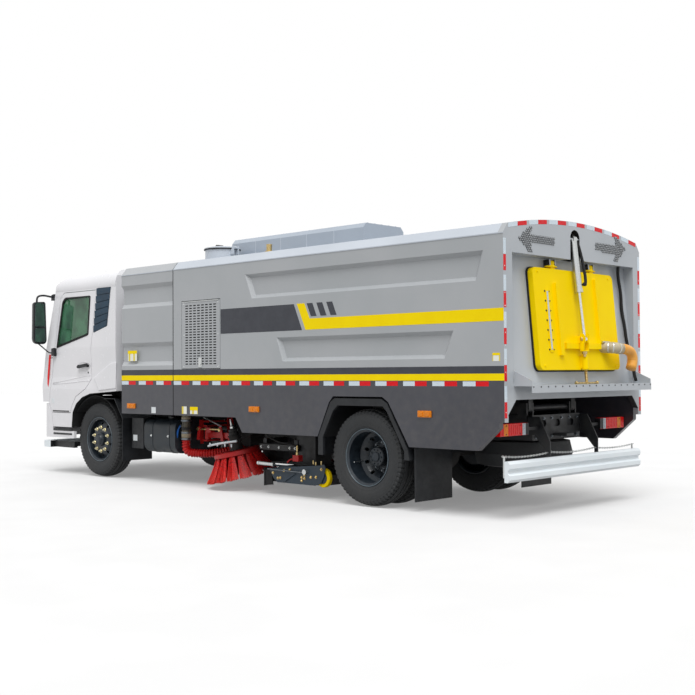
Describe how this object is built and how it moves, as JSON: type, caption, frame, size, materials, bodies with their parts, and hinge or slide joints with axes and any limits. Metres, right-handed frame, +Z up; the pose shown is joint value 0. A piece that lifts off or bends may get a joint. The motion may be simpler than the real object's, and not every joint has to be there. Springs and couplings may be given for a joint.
{
  "type": "street sweeper truck",
  "caption": "Two-axle street sweeper truck with a tilting cab, a tipping hopper with a lifting rear door, side brushes and a suction nozzle.",
  "frame": {"origin": "on the ground below the middle of the overall length and width", "axes": "+X forward, +Y to the truck's left, +Z up"},
  "size_m": [8.43, 2.94, 3.1],
  "materials": {
    "chassis_black": "satin",
    "body_grey": "satin",
    "roof_white": "satin",
    "cab_white": "gloss",
    "safety_yellow": "gloss",
    "signal_red": "gloss",
    "dark_plastic": "matte",
    "tyre_rubber": "matte",
    "soft_rubber": "matte",
    "wheel_steel": "satin",
    "glass_tint": "gloss",
    "bare_steel": "satin",
    "rod_chrome": "polished",
    "seat_cloth": "matte",
    "lamp_lens": "gloss",
    "bristle_red": "matte",
    "cast_axle": "satin"
  },
  "bodies": {
    "chassis": {"frame_rails": "chassis_black", "front_axle": "cast_axle", "rear_axle": "cast_axle", "leaf_springs": "chassis_black", "engine_block": "cast_axle", "drive_shaft": "chassis_black", "fuel_tank": "bare_steel", "side_lockers": "dark_plastic", "front_mudguards": "dark_plastic", "rear_mudguards": "dark_plastic", "underrun_bar": "cab_white", "tail_lamps": "lamp_lens", "spare_wheel": "tyre_rubber", "brush_brackets": "signal_red", "side_hose": "signal_red", "water_pump": "cast_axle", "front_module": "body_grey", "front_bumper": "cab_white", "front_wash_bar": "cab_white", "headlamps": "lamp_lens"},
    "cab": {"cab_shell": "cab_white", "cab_grilles": "dark_plastic", "windscreen": "glass_tint", "seats": "seat_cloth", "dashboard": "dark_plastic", "mirrors": "dark_plastic"},
    "cab_door_left": {"cab_door_left": "cab_white", "door_glass_left": "glass_tint"},
    "cab_door_right": {"cab_door_right": "cab_white", "door_glass_right": "glass_tint"},
    "steering_knuckle_left": {"knuckle_left": "cast_axle"},
    "steering_knuckle_right": {"knuckle_right": "cast_axle"},
    "front_wheel_left": {"front_rim_left": "wheel_steel", "front_tyre_left": "tyre_rubber"},
    "front_wheel_right": {"front_rim_right": "wheel_steel", "front_tyre_right": "tyre_rubber"},
    "rear_wheels_left": {"rear_rims_left": "wheel_steel", "rear_tyres_left": "tyre_rubber"},
    "rear_wheels_right": {"rear_rims_right": "wheel_steel", "rear_tyres_right": "tyre_rubber"},
    "tipping_body": {"body_side_left": "body_grey", "body_side_right": "body_grey", "body_roof": "roof_white", "body_floor": "body_grey", "rear_frame": "body_grey"},
    "grille_door_left": {"grille_door_left": "body_grey"},
    "grille_door_right": {"grille_door_right": "body_grey"},
    "roof_hatch": {"hatch_lid": "roof_white"},
    "rear_door": {"rear_door": "safety_yellow", "door_seal": "soft_rubber"},
    "rear_door_barrel": {"door_barrel": "safety_yellow"},
    "rear_door_rod": {"door_rod": "rod_chrome"},
    "brush_arm_left": {"brush_arm_left": "chassis_black"},
    "brush_arm_right": {"brush_arm_right": "chassis_black"},
    "brush_left": {"brush_left": "bristle_red"},
    "brush_right": {"brush_right": "bristle_red"},
    "suction_nozzle": {"nozzle": "bare_steel"},
    "nozzle_wheel_left": {"caster_left": "tyre_rubber"},
    "nozzle_wheel_right": {"caster_right": "tyre_rubber"}
  },
  "joints": [
    {"name": "steer_left", "type": "hinge", "parent": "chassis", "child": "steering_knuckle_left", "pos_m": [2.775, 0.83, 0.506], "axis": [0, 0, 1], "range_deg": [-35, 35]},
    {"name": "steer_right", "type": "hinge", "parent": "chassis", "child": "steering_knuckle_right", "pos_m": [2.775, -0.83, 0.506], "axis": [0, 0, 1], "range_deg": [-35, 35]},
    {"name": "front_wheel_left_spin", "type": "hinge", "parent": "steering_knuckle_left", "child": "front_wheel_left", "pos_m": [2.775, 0.982, 0.506], "axis": [0, 1, 0], "continuous": true},
    {"name": "front_wheel_right_spin", "type": "hinge", "parent": "steering_knuckle_right", "child": "front_wheel_right", "pos_m": [2.775, -0.982, 0.506], "axis": [0, 1, 0], "continuous": true},
    {"name": "rear_wheels_left_spin", "type": "hinge", "parent": "chassis", "child": "rear_wheels_left", "pos_m": [-2.225, 0.901, 0.506], "axis": [0, 1, 0], "continuous": true},
    {"name": "rear_wheels_right_spin", "type": "hinge", "parent": "chassis", "child": "rear_wheels_right", "pos_m": [-2.225, -0.901, 0.506], "axis": [0, 1, 0], "continuous": true},
    {"name": "cab_tilt", "type": "hinge", "parent": "chassis", "child": "cab", "pos_m": [4.075, 0, 0.85], "axis": [0, 1, 0], "range_deg": [0, 45]},
    {"name": "cab_door_left_hinge", "type": "hinge", "parent": "cab", "child": "cab_door_left", "pos_m": [3.885, 1.205, 1.4], "axis": [0, 0, -1], "range_deg": [0, 65]},
    {"name": "cab_door_right_hinge", "type": "hinge", "parent": "cab", "child": "cab_door_right", "pos_m": [3.885, -1.205, 1.4], "axis": [0, 0, 1], "range_deg": [0, 65]},
    {"name": "body_tip", "type": "hinge", "parent": "chassis", "child": "tipping_body", "pos_m": [-3.645, 0, 1.02], "axis": [0, -1, 0], "range_deg": [0, 45]},
    {"name": "grille_door_left_hinge", "type": "hinge", "parent": "tipping_body", "child": "grille_door_left", "pos_m": [0.406, 1.25, 2.248], "axis": [1, 0, 0], "range_deg": [0, 80]},
    {"name": "grille_door_right_hinge", "type": "hinge", "parent": "tipping_body", "child": "grille_door_right", "pos_m": [0.406, -1.25, 2.248], "axis": [-1, 0, 0], "range_deg": [0, 80]},
    {"name": "roof_hatch_hinge", "type": "hinge", "parent": "tipping_body", "child": "roof_hatch", "pos_m": [0.455, 0.66, 2.943], "axis": [0, -1, 0], "range_deg": [0, 100]},
    {"name": "rear_door_hinge", "type": "hinge", "parent": "tipping_body", "child": "rear_door", "pos_m": [-3.9392, 0, 2.4453], "axis": [0, 1, 0], "range_deg": [0, 80]},
    {"name": "rear_door_barrel_pivot", "type": "hinge", "parent": "tipping_body", "child": "rear_door_barrel", "pos_m": [-3.985, 0.03, 2.7], "axis": [0, 1, 0], "range_deg": [0, 67]},
    {"name": "rear_door_rod_slide", "type": "slide", "parent": "rear_door_barrel", "child": "rear_door_rod", "axis": [-0.1191, 0, -0.9929], "range_m": [-0.26, 0]},
    {"name": "brush_arm_left_swing", "type": "hinge", "parent": "chassis", "child": "brush_arm_left", "pos_m": [0.825, 0.8, 0.64], "axis": [0, 0, -1], "range_deg": [0, 25]},
    {"name": "brush_arm_right_swing", "type": "hinge", "parent": "chassis", "child": "brush_arm_right", "pos_m": [0.825, -0.8, 0.64], "axis": [0, 0, 1], "range_deg": [0, 25]},
    {"name": "brush_left_spin", "type": "hinge", "parent": "brush_arm_left", "child": "brush_left", "pos_m": [0.215, 0.85, 0.46], "axis": [0.15, 0.143, 0.9783], "continuous": true},
    {"name": "brush_right_spin", "type": "hinge", "parent": "brush_arm_right", "child": "brush_right", "pos_m": [0.215, -0.85, 0.46], "axis": [0.15, -0.143, 0.9783], "continuous": true},
    {"name": "nozzle_lift", "type": "slide", "parent": "chassis", "child": "suction_nozzle", "axis": [0, 0, 1], "range_m": [-0.12, 0]},
    {"name": "nozzle_wheel_left_spin", "type": "hinge", "parent": "suction_nozzle", "child": "nozzle_wheel_left", "pos_m": [-1.42, 0.995, 0.235], "axis": [0, 1, 0], "continuous": true},
    {"name": "nozzle_wheel_right_spin", "type": "hinge", "parent": "suction_nozzle", "child": "nozzle_wheel_right", "pos_m": [-1.42, -0.995, 0.235], "axis": [0, 1, 0], "continuous": true}
  ],
  "couplings": [
    {"joint": "steer_right", "follows": "steer_left", "ratio": 1},
    {"joint": "rear_door_barrel_pivot", "follows": "rear_door_hinge", "ratio": 0.8255},
    {"joint": "rear_door_rod_slide", "follows": "rear_door_hinge", "m_per_rad": -0.184}
  ]
}
